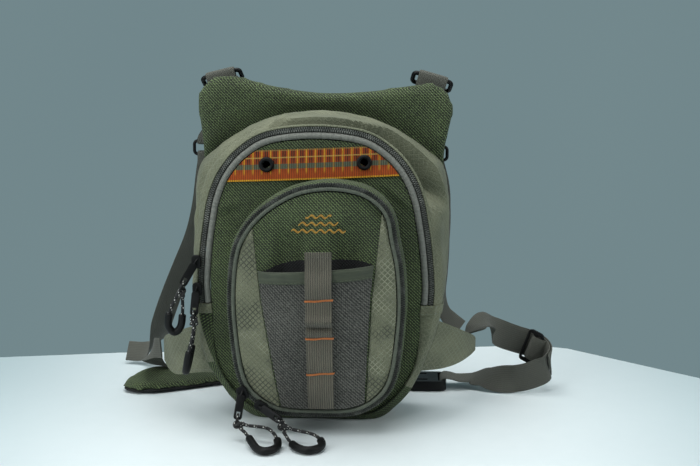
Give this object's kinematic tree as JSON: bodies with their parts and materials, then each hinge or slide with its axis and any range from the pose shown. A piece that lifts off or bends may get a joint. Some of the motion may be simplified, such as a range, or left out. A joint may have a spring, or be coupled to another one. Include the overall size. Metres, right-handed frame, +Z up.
{
  "type": "chest pack",
  "caption": "Soft chest pack with a padded horned back panel, arched zipped compartment, egg-shaped front pocket with mesh slip pocket, side wings, webbing harness and corded zip pulls.",
  "frame": {"origin": "a point on the flat base, on the pack's middle line", "axes": "+Z up, +X to the viewer's right, -Y to the front of the pack, +Y to the wearer"},
  "size_m": [0.4145, 0.265, 0.2928],
  "materials": {
    "olive_weave": "coarse dark olive basket weave, matte",
    "sage_cloth": "grey-green ripstop cloth with a diamond grid, slight sheen",
    "grey_tape": "grey zip tape and smooth binding",
    "grey_mesh": "grey knitted mesh with small holes",
    "webbing": "ribbed grey-brown webbing",
    "trim_ribbon": "woven ribbon, orange-red with yellow bars and a teal stripe",
    "tack_thread": "orange stitched thread",
    "black_plastic": "black moulded acetal, satin",
    "black_lining": "black spacer lining",
    "pull_cord": "black braided cord with pale flecks",
    "grip_rubber": "black rubber sleeve, satin"
  },
  "bodies": {
    "root": {"back_panel": "olive_weave", "main_gusset": "sage_cloth", "lower_strip": "sage_cloth", "main_zip": "grey_tape", "panel_binding": "grey_tape", "front_panel": "olive_weave", "trim_band": "trim_ribbon", "eyelet_left": "black_plastic", "eyelet_right": "black_plastic", "pocket_gusset": "olive_weave", "pocket_zip": "grey_tape", "pocket_centre": "olive_weave", "pocket_side_left": "sage_cloth", "pocket_side_right": "sage_cloth", "mesh_pocket": "grey_mesh", "mesh_hem": "olive_weave", "daisy_strap": "webbing", "bar_tack_1": "tack_thread", "bar_tack_2": "tack_thread", "bar_tack_3": "tack_thread", "wing_left": "sage_cloth", "wing_right": "sage_cloth", "horn_loop_left": "webbing", "horn_loop_right": "webbing", "horn_ring_left": "black_plastic", "horn_ring_right": "black_plastic", "shoulder_strap_left": "webbing", "shoulder_strap_right": "webbing", "side_ring_left": "black_plastic", "side_ring_right": "black_plastic", "side_tab_left": "webbing", "side_tab_right": "webbing", "side_strap_left": "webbing", "side_strap_right": "webbing", "shoulder_pad": "olive_weave", "pad_lining": "black_lining", "pad_tie": "webbing", "belt": "webbing", "belt_tail": "webbing", "belt_slider": "black_plastic", "belt_buckle": "black_plastic", "slider_1": "black_plastic", "slider_2": "black_plastic", "slider_3": "black_plastic", "slider_4": "black_plastic", "puller_1": "black_plastic", "puller_2": "black_plastic", "puller_3": "black_plastic", "puller_4": "black_plastic", "pull_cord_1": "pull_cord", "pull_cord_2": "pull_cord", "pull_cord_3": "pull_cord", "pull_cord_4": "pull_cord", "pull_grip_1": "grip_rubber", "pull_grip_2": "grip_rubber", "pull_grip_3": "grip_rubber", "pull_grip_4": "grip_rubber"}
  },
  "joints": []
}
